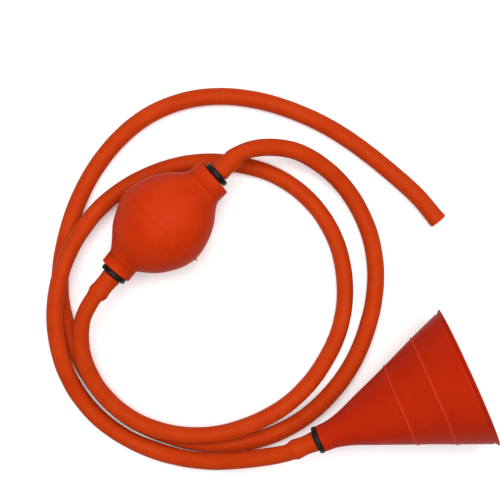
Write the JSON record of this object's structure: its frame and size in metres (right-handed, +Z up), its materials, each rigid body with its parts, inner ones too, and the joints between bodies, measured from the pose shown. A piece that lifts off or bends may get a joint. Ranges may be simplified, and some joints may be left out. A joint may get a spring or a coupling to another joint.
{
  "type": "siphon bulb pump",
  "caption": "Hand-squeezed rubber siphon pump with an oval bulb, ball check valves, a conical funnel on a coiled hose, and a coiled delivery hose.",
  "frame": {"origin": "on the surface the pump lies on, below the middle of the bulb, connectors and funnel together", "axes": "+X towards the funnel's mouth side, +Y away from the funnel towards the outlet end of the bulb, +Z up from the surface"},
  "size_m": [0.3047, 0.2636, 0.0968],
  "materials": {
    "bulb_rubber": "satin",
    "funnel_rubber": "satin",
    "hose_rubber": "satin",
    "seat_rubber": "matte",
    "connector_plastic": "satin",
    "ball_steel": "polished"
  },
  "bodies": {
    "pump": {"bulb_body": "bulb_rubber", "inlet_connector": "connector_plastic", "outlet_connector": "connector_plastic", "funnel_connector": "connector_plastic", "inlet_valve_seat": "seat_rubber", "outlet_valve_seat": "seat_rubber", "inlet_valve_cage": "connector_plastic", "outlet_valve_cage": "connector_plastic", "funnel": "funnel_rubber", "funnel_hose": "hose_rubber", "delivery_hose": "hose_rubber", "inlet_hose_cuff": "hose_rubber", "outlet_hose_cuff": "hose_rubber", "funnel_hose_cuff": "hose_rubber"},
    "squeeze_wall": {"bulb_squeeze_wall": "bulb_rubber"},
    "inlet_ball": {"inlet_valve_ball": "ball_steel"},
    "outlet_ball": {"outlet_valve_ball": "ball_steel"}
  },
  "joints": [
    {"name": "bulb_squeeze", "type": "slide", "parent": "pump", "child": "squeeze_wall", "axis": [0, 0, -1], "range_m": [0, 0.02], "stiffness_N_per_m": 600},
    {"name": "inlet_ball_lift", "type": "slide", "parent": "pump", "child": "inlet_ball", "axis": [0.6441, 0.7649, 0], "range_m": [0, 0.003]},
    {"name": "outlet_ball_lift", "type": "slide", "parent": "pump", "child": "outlet_ball", "axis": [0.7373, 0.6756, 0], "range_m": [0, 0.003]}
  ]
}
